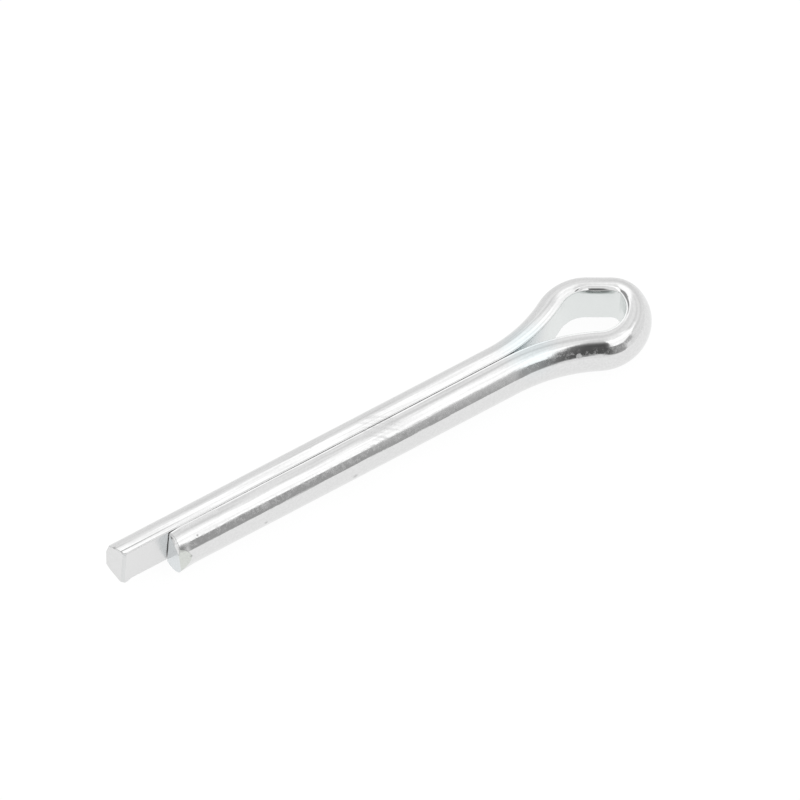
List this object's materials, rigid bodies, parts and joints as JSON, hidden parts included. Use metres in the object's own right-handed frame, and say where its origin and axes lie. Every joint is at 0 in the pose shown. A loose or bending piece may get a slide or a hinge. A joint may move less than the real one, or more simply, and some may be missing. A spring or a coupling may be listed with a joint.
{
  "type": "cotter pin",
  "caption": "Split cotter pin bent from half-round steel wire, with a teardrop eye and two closed straight legs of unequal length.",
  "frame": {"origin": "on the shank's axis, where both legs have run out of the eye and lie closed", "axes": "+X along the legs towards their tips, +Z square to the plane of the eye, the long leg on the -Y side of the seam"},
  "size_m": [0.0511, 0.009, 0.0046],
  "materials": {
    "zinc_plated_steel": "bright zinc plated, drawn and sheared low-carbon steel wire"
  },
  "bodies": {
    "root": {"cotter_pin": "zinc_plated_steel"}
  },
  "joints": []
}
